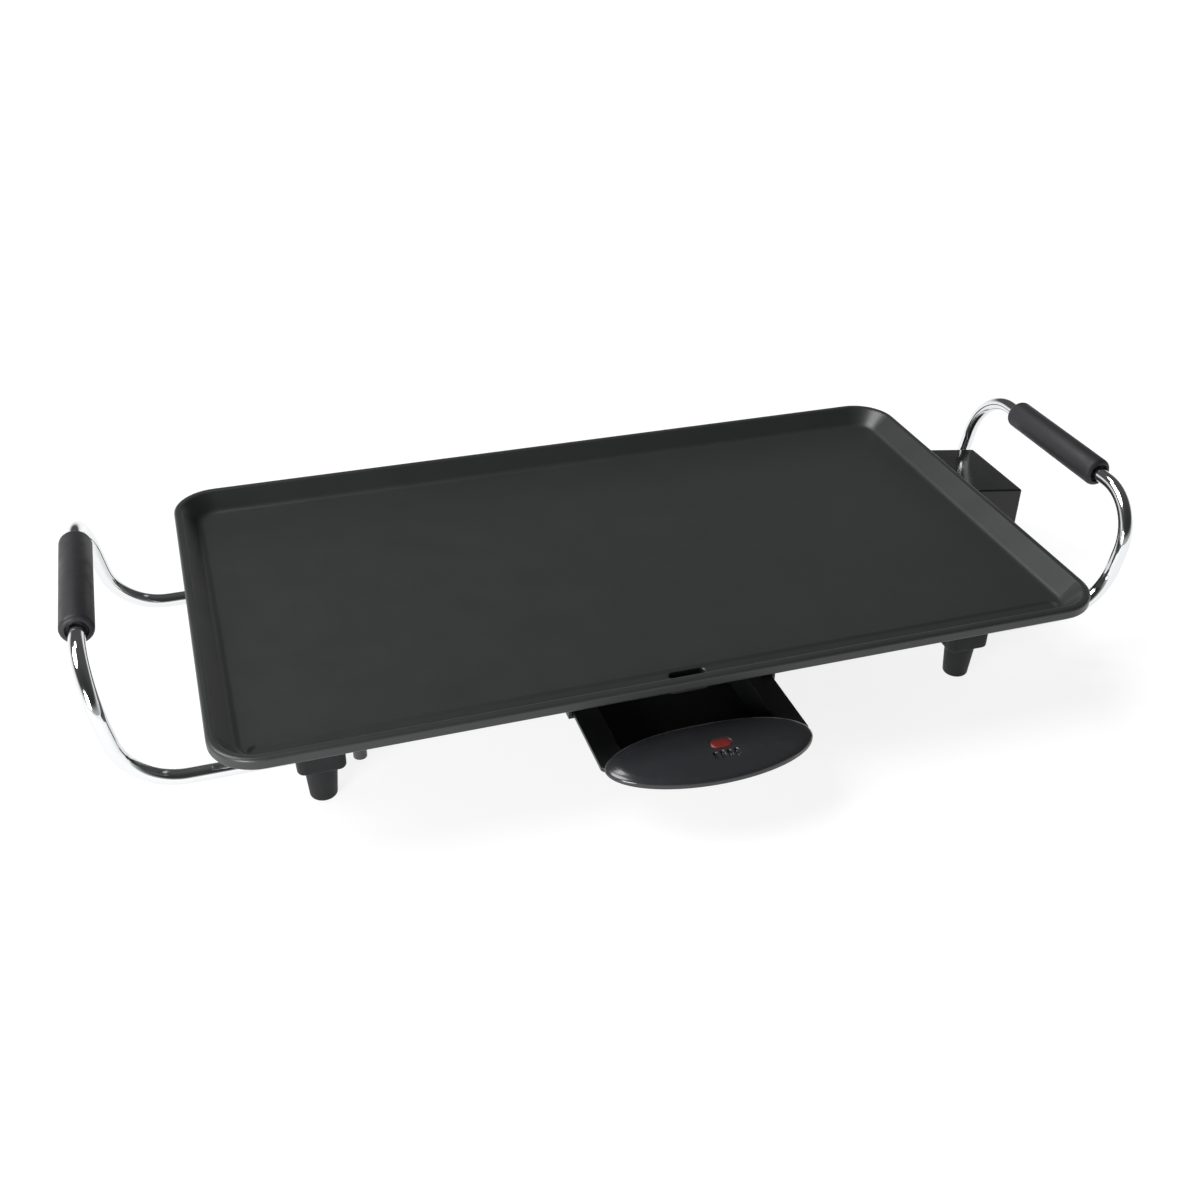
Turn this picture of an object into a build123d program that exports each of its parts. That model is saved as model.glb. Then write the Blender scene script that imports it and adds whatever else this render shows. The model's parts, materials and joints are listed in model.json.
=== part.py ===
from build123d import *
import os

# Electric griddle: a cast plate on four feet, heated by a clamped element, with wire handles at both ends,
# a socket for a plug-in thermostat at the right end and a drip tray that slides out at the front.
# Millimetres. +X is to the right along the long side, +Y to the back, +Z up; the feet rest on z = 0.

os.makedirs("parts", exist_ok=True)

# ---------------------------------------------------------------- driving dimensions
PLATE_LENGTH = 460.0
PLATE_WIDTH = 260.0
PLATE_Y = 19.5                 # centre of the plate, behind the middle of the whole object
RIM_TOP_Z = 68.0
RIM_RADIUS = 24.0
LIP_HEIGHT = 6.0
LIP_WIDTH = 4.0
LIP_TOP_EDGE = 1.7             # roundings of the lip's upper and lower edges
LIP_BOTTOM_EDGE = 1.0
LIP_UNDERCUT = 2.5             # how far the plate's side steps in below the lip
SIDE_DRAFT = 13.25             # inset of the underside from the rim's outline
UNDERSIDE_Z = 53.0
COOKING_Z = 58.5
COOKING_INSET = 13.0           # where the rim's sloped wall meets the cooking floor
COOKING_FILLET = 5.0

GUTTER_LENGTH = 426.0          # shallow trough along the front that leads grease to the drain
GUTTER_WIDTH = 9.0
GUTTER_INSET = 19.0            # middle of the trough, in from the front edge
GUTTER_DEPTH = 0.7
GUTTER_SLOPE = 2.0
DRAIN_LENGTH = 19.0
DRAIN_WIDTH = 4.8
DRAIN_DISH = 0.6               # how far the drain's dished edge spreads, and how deep it goes
SPOUT_WALL = 3.0
SPOUT_DEPTH = 2.5
LUG_SPOT = (-163.0, -94.0)     # small cast lug under the front edge
LUG_RADIUS = 3.2
LUG_Z = 46.5

FOOT_X = 179.0
FOOT_SPACING_Y = 160.0
FOOT_BLOCK_X = 24.0
FOOT_BLOCK_Y = 20.0
FOOT_FLANGE_Y = 36.0
FOOT_FLANGE_TOP_Z = 49.0
FOOT_FLANGE_Z = 44.0
FOOT_POST_TOP_Z = 20.5
FOOT_TOP_RADIUS = 8.4
FOOT_TIP_RADIUS = 6.8
FOOT_SCREW_OFFSET = 14.0
FOOT_CORNER = 4.0
FOOT_EDGE = 1.5

ROD_RADIUS = 4.0
ROD_Z = 26.5
ROD_END_X = 175.0
ROD_KNEE_X = 267.0
ROD_KNEE_BEND = 32.0
GRIP_X = 279.2
GRIP_Z = 92.5
GRIP_BEND = 30.0
GRIP_RADIUS = 8.3
GRIP_LENGTH = 84.0
GRIP_RECESS_RADIUS = 6.0
GRIP_RECESS_DEPTH = 2.5
GRIP_END_ROUND = 2.5
ROD_CLEARANCE = 0.1
ROD_SCREW_SEAT_X = 170.0       # where the head of a rod's end screw sits, inside the foot block
ROD_SCREW_REACH = 6.0          # how far the screw goes into the rod
ROD_SCREW_POCKET_RADIUS = 4.1

ELEMENT_RADIUS = 3.4
ELEMENT_Z = 49.3
ELEMENT_HALF_SPAN = 150.0
ELEMENT_FRONT_Y = -57.0
ELEMENT_BACK_Y = 96.0
ELEMENT_RETURN_X = -95.0
ELEMENT_RETURN_Y = 15.0
ELEMENT_BEND = 13.0
ELEMENT_JOG_BEND = 10.0
LEAD_FLAT_X = 172.0
LEAD_LOW_X = 190.0
LEAD_BEND = 15.0
RIDGE_WIDTH = 12.5
RIDGE_DEPTH = 4.0
RIDGE_ROOT = 0.6               # how far the ridges run up into the plate
GROOVE_CLEARANCE = 0.1

SOCKET_Y = 58.8                # middle of the thermostat socket
SOCKET_WIDTH = 58.0
SOCKET_X0 = 200.0
SOCKET_BOX_X0 = 228.0          # beyond the plate's lip, where the socket stands taller
SOCKET_X1 = 270.0
SOCKET_Z0 = 26.0
SOCKET_TOP_Z = 61.3
SOCKET_TOP_DROP = 5.1          # the roof falls this far towards its outer end
SOCKET_WALL = 3.0
SOCKET_EDGE = 1.2
PIN_SPACING = 32.0
PIN_RADIUS = 3.0
PIN_CORE_RADIUS = 2.5          # the pin's thinner stretch inside its bush
PIN_Z = 42.0
PIN_X0 = 231.0
PIN_X1 = 258.0
PIN_NOSE = 1.2
BUSH_RADIUS = 4.4
BUSH_X1 = 239.0
BUSH_EDGE = 0.4
BUSH_CLEARANCE = 0.05          # between each pin and its bush
HOLE_CLEARANCE = 0.1           # round each lead, bush and guide where it passes a wall
BULKHEAD_X = 233.0
PROBE_OUTER_RADIUS = 4.5
PROBE_BORE_RADIUS = 3.3
PROBE_X0 = 160.0
PROBE_X1 = 244.0
PROBE_END_WALL = 3.0
PROBE_BOSS_LENGTH = 36.0       # the block under the plate that holds the guide's closed end
PROBE_BOSS_WIDTH = 15.0
PROBE_BOSS_WALL = 3.0
SOCKET_SCREW_X = 213.0
SOCKET_SCREW_OFFSET = 8.0
SOCKET_COLUMN_RADIUS = 3.2
EARTH_STRIP = (22.0, 0.8)      # length and thickness of each earth contact, its raised pad, its height
EARTH_PAD = (6.0, 1.0)
EARTH_PAD_OFFSET = 4.0
EARTH_HEIGHT = 8.0

TRAY_FRONT_Y = -124.0
TRAY_BACK_Y = 10.0
TRAY_FLANGE_HALF = 54.3
TRAY_WELL_HALF = 43.0
TRAY_TOP_Z = 35.0
TRAY_FLANGE_THICKNESS = 2.0
TRAY_BOTTOM_Z = 17.5
TRAY_WALL = 2.0
TRAY_DRAFT = 1.3
TRAY_CORNER = 8.0
TRAY_WELL_EDGE = 0.9
TRAY_RIM_EDGE = 0.4
TRAY_FOOT_EDGE = 2.0
TRAY_FLANGE_CORNER = 3.0
TRAY_END_GAP = 1.0             # the well stops this far inside each end of the flange

PAD_HALF = 53.5
PAD_BACK_Y = -110.0
PAD_TIP_Y = -125.5
PAD_FRONT_Y = -149.5
PAD_BOTTOM_Z = 34.5
PAD_FRONT_Z = 36.9             # top of the handle at its front edge, its ends and its highest
PAD_END_Z = 38.0
PAD_CROWN_Z = 41.0
FLANGE_GAP = 0.2
BADGE_SPOT = (4.5, -127.5)
BADGE_LENGTH = 11.0
BADGE_WIDTH = 6.5
BADGE_FLOOR_Z = 39.4
BADGE_HEIGHT = 1.2
BADGE_EDGE = 0.4
BADGE_CLEARANCE = 0.1
GRIP_GROOVES = 4
GROOVE_PITCH = 3.6
GROOVE_Y = -135.0
GROOVE_WIDTH = 1.7
GROOVE_LENGTH = 4.8
GROOVE_FLOOR_Z = 38.9
TONGUE_HALF = 28.0
TONGUE_FRONT_Y = -140.0
TONGUE_THICKNESS = 2.5
TRAY_SCREW_X = 18.0
TRAY_SCREW_Y = -132.0
TRAY_SCREW_REACH = 3.0

RAIL_FRONT_Y = -77.0
RAIL_BACK_Y = 14.0
RAIL_SHEET = 1.6
RAIL_CLEARANCE = 0.5
RAIL_LEG_WIDTH = 12.0
RAIL_LEG_YS = (-40.0, -12.0)
RAIL_TAB_Z = 49.0
RAIL_SCREW_X = 64.0
RAIL_LOWER_LIP_X = 46.0        # inner edges of the channel's lower and upper lips
RAIL_UPPER_LIP_X = 49.3
RAIL_TAB_X = 70.0

SCREW_RADIUS = 1.9
SCREW_HOLE_RADIUS = 2.0
SCREW_HEAD_RADIUS = 3.6
SCREW_HEAD_HEIGHT = 2.4
DRIVE_SLOT = (2.8, 0.7)
SCREW_TIP_Z = 55.5
SCREW_END_GAP = 0.3            # left beyond each screw's tip in its blind hole
BOSS_RADIUS = 4.5
CLAMP_WIDTH = 12.0
CLAMP_LENGTH = 34.0
CLAMP_LONG_LENGTH = 44.0       # the clamp that bridges two runs of the element
CLAMP_CORNER = 2.0
CLAMP_SHEET = 1.5
CLAMP_BOLT_OFFSET = 12.0
RETURN_CLAMP_X = 20.0

# ---------------------------------------------------------------- worked-out places
LIP_BOTTOM_Z = RIM_TOP_Z - LIP_HEIGHT
PLATE_FRONT_Y = PLATE_Y - PLATE_WIDTH / 2
GUTTER_Y = PLATE_FRONT_Y + GUTTER_INSET
GUTTER_Z = COOKING_Z - GUTTER_DEPTH
FOOT_YS = (PLATE_Y - FOOT_SPACING_Y / 2, PLATE_Y + FOOT_SPACING_Y / 2)
FOOT_SPOTS = [(side * FOOT_X, y) for side in (-1, 1) for y in FOOT_YS]
FOOT_SCREW_SPOTS = [
    (x, y + offset) for x, y in FOOT_SPOTS for offset in (-FOOT_SCREW_OFFSET, FOOT_SCREW_OFFSET)
]
PIN_YS = (SOCKET_Y - PIN_SPACING / 2, SOCKET_Y + PIN_SPACING / 2)
SOCKET_SCREW_SPOTS = [
    (SOCKET_SCREW_X, SOCKET_Y + offset) for offset in (-SOCKET_SCREW_OFFSET, SOCKET_SCREW_OFFSET)
]
CLAMP_Z = ELEMENT_Z - ELEMENT_RADIUS - GROOVE_CLEARANCE
PROBE_BOSS_Z = PIN_Z - PROBE_OUTER_RADIUS - PROBE_BOSS_WALL
RETURN_MIDDLE_Y = (ELEMENT_RETURN_Y + PIN_YS[0]) / 2
# each clamp: centre, length along X, length along Y
CLAMPS = [
    ((0, ELEMENT_FRONT_Y), CLAMP_WIDTH, CLAMP_LENGTH),
    ((0, ELEMENT_BACK_Y), CLAMP_WIDTH, CLAMP_LENGTH),
    ((-ELEMENT_HALF_SPAN, PLATE_Y), CLAMP_LENGTH, CLAMP_WIDTH),
    ((RETURN_CLAMP_X, RETURN_MIDDLE_Y), CLAMP_WIDTH, CLAMP_LONG_LENGTH),
]
CLAMP_SCREW_SPOTS = [
    (0, ELEMENT_FRONT_Y - CLAMP_BOLT_OFFSET),
    (0, ELEMENT_FRONT_Y + CLAMP_BOLT_OFFSET),
    (0, ELEMENT_BACK_Y - CLAMP_BOLT_OFFSET),
    (0, ELEMENT_BACK_Y + CLAMP_BOLT_OFFSET),
    (-ELEMENT_HALF_SPAN - CLAMP_BOLT_OFFSET, PLATE_Y),
    (-ELEMENT_HALF_SPAN + CLAMP_BOLT_OFFSET, PLATE_Y),
    (RETURN_CLAMP_X, RETURN_MIDDLE_Y),
]
RAIL_SCREW_SPOTS = [(side * RAIL_SCREW_X, y) for side in (-1, 1) for y in RAIL_LEG_YS]
TRAY_SCREW_SPOTS = [(side * TRAY_SCREW_X, TRAY_SCREW_Y) for side in (-1, 1)]
TRAY_CENTRE_Y = (TRAY_FRONT_Y + TRAY_BACK_Y) / 2
TRAY_LENGTH = TRAY_BACK_Y - TRAY_FRONT_Y
SIDE_NAMES = {-1: "left", 1: "right"}

# the element's flat loop, from the front lead round to the back lead
LOOP_POINTS = [
    (LEAD_FLAT_X, PIN_YS[0], ELEMENT_Z),
    (ELEMENT_RETURN_X, PIN_YS[0], ELEMENT_Z),
    (ELEMENT_RETURN_X, ELEMENT_RETURN_Y, ELEMENT_Z),
    (ELEMENT_HALF_SPAN, ELEMENT_RETURN_Y, ELEMENT_Z),
    (ELEMENT_HALF_SPAN, ELEMENT_FRONT_Y, ELEMENT_Z),
    (-ELEMENT_HALF_SPAN, ELEMENT_FRONT_Y, ELEMENT_Z),
    (-ELEMENT_HALF_SPAN, ELEMENT_BACK_Y, ELEMENT_Z),
    (ELEMENT_HALF_SPAN, ELEMENT_BACK_Y, ELEMENT_Z),
    (ELEMENT_HALF_SPAN, PIN_YS[1], ELEMENT_Z),
    (LEAD_FLAT_X, PIN_YS[1], ELEMENT_Z),
]
LOOP_RADII = [ELEMENT_BEND] * 6 + [ELEMENT_JOG_BEND] * 2


def save(part, node):
    """Label a finished piece and write it out."""
    part.label = node
    export_step(part, f"parts/{node}.step")


def plate_outline(inset):
    """The plate's rounded rectangle, drawn in from the rim by an inset, for the sketch around it."""
    with Locations((0, PLATE_Y)):
        RectangleRounded(
            PLATE_LENGTH - 2 * inset, PLATE_WIDTH - 2 * inset, max(RIM_RADIUS - inset, RIM_RADIUS / 3)
        )


def upright_screws(spots, seat_z, tip_z, radius=SCREW_RADIUS):
    """Round-headed screws driven upwards, with the underside of each plate they clamp at seat_z."""
    with BuildPart() as screws:
        with BuildSketch(Plane.XY.offset(seat_z)):
            with Locations(*spots):
                Circle(radius)
        extrude(amount=tip_z - seat_z)
        with BuildSketch(Plane.XY.offset(seat_z - SCREW_HEAD_HEIGHT)):
            with Locations(*spots):
                Circle(SCREW_HEAD_RADIUS)
        extrude(amount=SCREW_HEAD_HEIGHT)
        rims = screws.edges().group_by(Axis.Z)[0]
        fillet(rims, SCREW_HEAD_HEIGHT * 0.5)
        with BuildSketch(Plane.XY.offset(seat_z - SCREW_HEAD_HEIGHT)):
            with Locations(*spots):
                Rectangle(*DRIVE_SLOT)
                Rectangle(*reversed(DRIVE_SLOT))
        extrude(amount=SCREW_HEAD_HEIGHT * 0.5, mode=Mode.SUBTRACT)
    return screws.part


# ---------------------------------------------------------------- plate
with BuildPart() as griddle_plate:
    with BuildSketch(Plane.XY.offset(LIP_BOTTOM_Z)):
        plate_outline(0)
    extrude(amount=LIP_HEIGHT)
    fillet(griddle_plate.edges().group_by(Axis.Z)[0], LIP_BOTTOM_EDGE)
    with BuildSketch(Plane.XY.offset(UNDERSIDE_Z)):
        plate_outline(SIDE_DRAFT)
    with BuildSketch(Plane.XY.offset(LIP_BOTTOM_Z)):
        plate_outline(LIP_UNDERCUT)
    loft()
    with BuildSketch(Plane.XY.offset(COOKING_Z)):
        plate_outline(COOKING_INSET)
    with BuildSketch(Plane.XY.offset(RIM_TOP_Z)):
        plate_outline(LIP_WIDTH)
    loft(mode=Mode.SUBTRACT)
    floor_edges = griddle_plate.edges().filter_by_position(Axis.Z, COOKING_Z - 0.01, COOKING_Z + 0.01)
    fillet(floor_edges, COOKING_FILLET)
    fillet(griddle_plate.edges().group_by(Axis.Z)[-1], LIP_TOP_EDGE)
    # gutter along the front, with sloped sides
    with BuildSketch(Plane.XY.offset(GUTTER_Z)):
        with Locations((0, GUTTER_Y)):
            SlotOverall(GUTTER_LENGTH - 2 * GUTTER_SLOPE, GUTTER_WIDTH - 2 * GUTTER_SLOPE)
    with BuildSketch(Plane.XY.offset(COOKING_Z)):
        with Locations((0, GUTTER_Y)):
            SlotOverall(GUTTER_LENGTH, GUTTER_WIDTH)
    loft(mode=Mode.SUBTRACT)
    # ridges that cradle the element, and the pads and bosses that take the screws
    with BuildLine() as loop:
        FilletPolyline(*LOOP_POINTS, radius=LOOP_RADII)
    with BuildSketch(Plane(origin=loop.line @ 0, x_dir=(0, 0, 1), z_dir=loop.line % 0)):
        with Locations((UNDERSIDE_Z + (RIDGE_ROOT - RIDGE_DEPTH) / 2 - ELEMENT_Z, 0)):
            Rectangle(RIDGE_DEPTH + RIDGE_ROOT, RIDGE_WIDTH)
    sweep()
    with BuildSketch(Plane.XY.offset(FOOT_FLANGE_TOP_Z)):
        with Locations(*FOOT_SPOTS):
            RectangleRounded(FOOT_BLOCK_X, FOOT_FLANGE_Y, FOOT_CORNER)
    extrude(amount=UNDERSIDE_Z - FOOT_FLANGE_TOP_Z)
    with BuildSketch(Plane.XY.offset(CLAMP_Z)):
        with Locations(*CLAMP_SCREW_SPOTS):
            Circle(BOSS_RADIUS)
    extrude(amount=UNDERSIDE_Z - CLAMP_Z)
    with BuildSketch(Plane.XY.offset(RAIL_TAB_Z + RAIL_SHEET)):
        with Locations(*RAIL_SCREW_SPOTS):
            Circle(BOSS_RADIUS)
    extrude(amount=UNDERSIDE_Z - RAIL_TAB_Z - RAIL_SHEET)
    with BuildSketch(Plane.XY.offset(LUG_Z)):
        with Locations(LUG_SPOT):
            Circle(LUG_RADIUS)
    extrude(amount=UNDERSIDE_Z + 1 - LUG_Z)
    with BuildSketch(Plane.XY.offset(UNDERSIDE_Z - SPOUT_DEPTH)):
        with Locations((0, GUTTER_Y)):
            SlotOverall(DRAIN_LENGTH + 2 * SPOUT_WALL, DRAIN_WIDTH + 2 * SPOUT_WALL)
    extrude(amount=SPOUT_DEPTH)
    with BuildSketch(Plane.XY.offset(PROBE_BOSS_Z)):
        with Locations((PROBE_X0 + PROBE_BOSS_LENGTH / 2, SOCKET_Y)):
            Rectangle(PROBE_BOSS_LENGTH, PROBE_BOSS_WIDTH)
    extrude(amount=UNDERSIDE_Z - PROBE_BOSS_Z)
    # openings: element groove, probe boss, drain slot and blind screw holes
    with BuildLine() as groove:
        FilletPolyline(*LOOP_POINTS, radius=LOOP_RADII)
    with BuildSketch(Plane(origin=groove.line @ 0, z_dir=groove.line % 0)):
        Circle(ELEMENT_RADIUS + GROOVE_CLEARANCE)
    sweep(mode=Mode.SUBTRACT)
    with BuildSketch(Plane.YZ.offset(PROBE_X0 - 1)):
        with Locations((SOCKET_Y, PIN_Z)):
            Circle(PROBE_OUTER_RADIUS)
    extrude(amount=PROBE_BOSS_LENGTH + 4, mode=Mode.SUBTRACT)
    with BuildSketch(Plane.XY.offset(UNDERSIDE_Z - SPOUT_DEPTH)):
        with Locations((0, GUTTER_Y)):
            SlotOverall(DRAIN_LENGTH, DRAIN_WIDTH)
    extrude(amount=SPOUT_DEPTH + 10, mode=Mode.SUBTRACT)
    with BuildSketch(Plane.XY.offset(GUTTER_Z - DRAIN_DISH)):
        with Locations((0, GUTTER_Y)):
            SlotOverall(DRAIN_LENGTH, DRAIN_WIDTH)
    with BuildSketch(Plane.XY.offset(GUTTER_Z)):
        with Locations((0, GUTTER_Y)):
            SlotOverall(DRAIN_LENGTH + 2 * DRAIN_DISH, DRAIN_WIDTH + DRAIN_DISH)
    loft(mode=Mode.SUBTRACT)
    with BuildSketch(Plane.XY.offset(CLAMP_Z)):
        with Locations(*FOOT_SCREW_SPOTS, *CLAMP_SCREW_SPOTS, *RAIL_SCREW_SPOTS, *SOCKET_SCREW_SPOTS):
            Circle(SCREW_HOLE_RADIUS)
    extrude(amount=SCREW_TIP_Z + SCREW_END_GAP - CLAMP_Z, mode=Mode.SUBTRACT)
save(griddle_plate.part, "griddle_plate")

# ---------------------------------------------------------------- heating
with BuildPart() as heating_element:
    with BuildLine() as run:
        FilletPolyline(
            (PIN_X0, PIN_YS[0], PIN_Z),
            (LEAD_LOW_X, PIN_YS[0], PIN_Z),
            *LOOP_POINTS,
            (LEAD_LOW_X, PIN_YS[1], PIN_Z),
            (PIN_X0, PIN_YS[1], PIN_Z),
            radius=[LEAD_BEND] * 2 + LOOP_RADII + [LEAD_BEND] * 2,
        )
    with BuildSketch(Plane(origin=run.line @ 0, z_dir=run.line % 0)):
        Circle(ELEMENT_RADIUS)
    sweep()
save(heating_element.part, "heating_element")

with BuildPart() as element_clamps:
    for spot, size_x, size_y in CLAMPS:
        with BuildSketch(Plane.XY.offset(CLAMP_Z - CLAMP_SHEET)):
            with Locations(spot):
                RectangleRounded(size_x, size_y, CLAMP_CORNER)
        extrude(amount=CLAMP_SHEET)
    with BuildSketch(Plane.XY.offset(CLAMP_Z - CLAMP_SHEET)):
        with Locations(*CLAMP_SCREW_SPOTS):
            Circle(SCREW_HOLE_RADIUS)
    extrude(amount=CLAMP_SHEET, mode=Mode.SUBTRACT)
save(element_clamps.part, "element_clamps")
save(upright_screws(CLAMP_SCREW_SPOTS, CLAMP_Z - CLAMP_SHEET, SCREW_TIP_Z), "clamp_screws")

for pin_y, place in zip(PIN_YS, ("front", "back")):
    with BuildPart() as terminal_pin:
        with BuildSketch(Plane.YZ.offset(PIN_X0)):
            with Locations((pin_y, PIN_Z)):
                Circle(PIN_CORE_RADIUS)
        extrude(amount=BUSH_X1 - PIN_X0)
        with BuildSketch(Plane.YZ.offset(BUSH_X1)):
            with Locations((pin_y, PIN_Z)):
                Circle(PIN_RADIUS)
        extrude(amount=PIN_X1 - BUSH_X1)
        fillet(terminal_pin.edges().group_by(Axis.X)[-1], PIN_NOSE)
    save(terminal_pin.part, f"terminal_pin_{place}")
    with BuildPart() as pin_bush:
        with BuildSketch(Plane.YZ.offset(PIN_X0)):
            with Locations((pin_y, PIN_Z)):
                Circle(BUSH_RADIUS)
                Circle(PIN_CORE_RADIUS + BUSH_CLEARANCE, mode=Mode.SUBTRACT)
        extrude(amount=BUSH_X1 - PIN_X0)
        chamfer(pin_bush.edges().group_by(Axis.X)[-1], BUSH_EDGE)
    save(pin_bush.part, f"pin_bush_{place}")

with BuildPart() as probe_guide:
    with BuildSketch(Plane.YZ.offset(PROBE_X0)):
        with Locations((SOCKET_Y, PIN_Z)):
            Circle(PROBE_OUTER_RADIUS - BUSH_CLEARANCE)
    extrude(amount=PROBE_X1 - PROBE_X0)
    with BuildSketch(Plane.YZ.offset(PROBE_X0 + PROBE_END_WALL)):
        with Locations((SOCKET_Y, PIN_Z)):
            Circle(PROBE_BORE_RADIUS)
    extrude(amount=PROBE_X1 - PROBE_X0, mode=Mode.SUBTRACT)
save(probe_guide.part, "probe_guide")


# ---------------------------------------------------------------- thermostat socket
def socket_shell(z0, z1):
    """One half of the socket's moulding, between two levels, split at the pins."""
    cavity_width = SOCKET_WIDTH - 2 * SOCKET_WALL
    inner_x0 = SOCKET_X0 + SOCKET_WALL
    mouth_x0 = BULKHEAD_X + SOCKET_WALL
    floor_z = SOCKET_Z0 + SOCKET_WALL
    roof_z = SOCKET_TOP_Z - SOCKET_WALL
    with BuildPart() as shell:
        # side profile: low under the plate, taller outside it, with a roof that slopes down outwards
        with BuildSketch(Plane.XZ.offset(-SOCKET_Y)):
            with BuildLine():
                Polyline(
                    (SOCKET_X0, SOCKET_Z0),
                    (SOCKET_X1, SOCKET_Z0),
                    (SOCKET_X1, SOCKET_TOP_Z - SOCKET_TOP_DROP),
                    (SOCKET_BOX_X0 + SOCKET_WALL, SOCKET_TOP_Z),
                    (SOCKET_BOX_X0, SOCKET_TOP_Z),
                    (SOCKET_BOX_X0, UNDERSIDE_Z),
                    (SOCKET_X0, UNDERSIDE_Z),
                    close=True,
                )
            make_face()
        extrude(amount=SOCKET_WIDTH / 2, both=True)
        fillet(shell.edges().filter_by(lambda edge: edge.center().X > BULKHEAD_X), SOCKET_EDGE)
        # chamber for the element's ends, and the mouth that takes the plug
        with BuildSketch(Plane.XY.offset(floor_z)):
            with Locations(((inner_x0 + BULKHEAD_X) / 2, SOCKET_Y)):
                Rectangle(BULKHEAD_X - inner_x0, cavity_width)
        extrude(amount=UNDERSIDE_Z - SOCKET_WALL - floor_z, mode=Mode.SUBTRACT)
        with BuildSketch(Plane.XZ.offset(-SOCKET_Y)):
            with BuildLine():
                Polyline(
                    (mouth_x0, floor_z),
                    (SOCKET_X1 + 1, floor_z),
                    (SOCKET_X1 + 1, roof_z - SOCKET_TOP_DROP),
                    (mouth_x0, roof_z - 1),
                    close=True,
                )
            make_face()
        extrude(amount=cavity_width / 2, both=True, mode=Mode.SUBTRACT)
        # screw columns, then the holes for leads, bushes, probe guide and screws
        with BuildSketch(Plane.XY.offset(SOCKET_Z0)):
            with Locations(*SOCKET_SCREW_SPOTS):
                Circle(SOCKET_COLUMN_RADIUS)
        extrude(amount=UNDERSIDE_Z - SOCKET_Z0)
        with BuildSketch(Plane.XY.offset(SOCKET_Z0)):
            with Locations(*SOCKET_SCREW_SPOTS):
                Circle(SCREW_HOLE_RADIUS)
        extrude(amount=UNDERSIDE_Z - SOCKET_Z0, mode=Mode.SUBTRACT)
        with BuildSketch(Plane.YZ.offset(SOCKET_X0)):
            with Locations(*[(y, PIN_Z) for y in PIN_YS]):
                Circle(ELEMENT_RADIUS + HOLE_CLEARANCE)
            with Locations((SOCKET_Y, PIN_Z)):
                Circle(PROBE_OUTER_RADIUS + HOLE_CLEARANCE)
        extrude(amount=SOCKET_WALL, mode=Mode.SUBTRACT)
        with BuildSketch(Plane.YZ.offset(BULKHEAD_X)):
            with Locations(*[(y, PIN_Z) for y in PIN_YS]):
                Circle(BUSH_RADIUS + HOLE_CLEARANCE)
            with Locations((SOCKET_Y, PIN_Z)):
                Circle(PROBE_OUTER_RADIUS + HOLE_CLEARANCE)
        extrude(amount=SOCKET_WALL, mode=Mode.SUBTRACT)
        with BuildSketch(Plane.XY.offset(z0)):
            with Locations(((SOCKET_X0 + SOCKET_X1) / 2, SOCKET_Y)):
                Rectangle(SOCKET_X1 - SOCKET_X0 + 2, SOCKET_WIDTH + 2)
        extrude(amount=z1 - z0, mode=Mode.INTERSECT)
    return shell.part


save(socket_shell(PIN_Z, SOCKET_TOP_Z), "socket_shell_upper")
save(socket_shell(SOCKET_Z0, PIN_Z), "socket_shell_lower")
save(upright_screws(SOCKET_SCREW_SPOTS, SOCKET_Z0, SCREW_TIP_Z), "socket_screws")

with BuildPart() as earth_contacts:
    for side in (-1, 1):
        strip_x = (BUSH_X1 + SOCKET_X1) / 2
        strip_y = SOCKET_Y + side * (SOCKET_WIDTH / 2 - SOCKET_WALL - 0.5)
        with BuildSketch(Plane.XY.offset(PIN_Z - EARTH_HEIGHT / 2)):
            with Locations((strip_x, strip_y)):
                Rectangle(*EARTH_STRIP)
            with Locations((strip_x + EARTH_PAD_OFFSET, strip_y - side * EARTH_STRIP[1])):
                Rectangle(*EARTH_PAD)
        extrude(amount=EARTH_HEIGHT)
save(earth_contacts.part, "earth_contacts")


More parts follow.
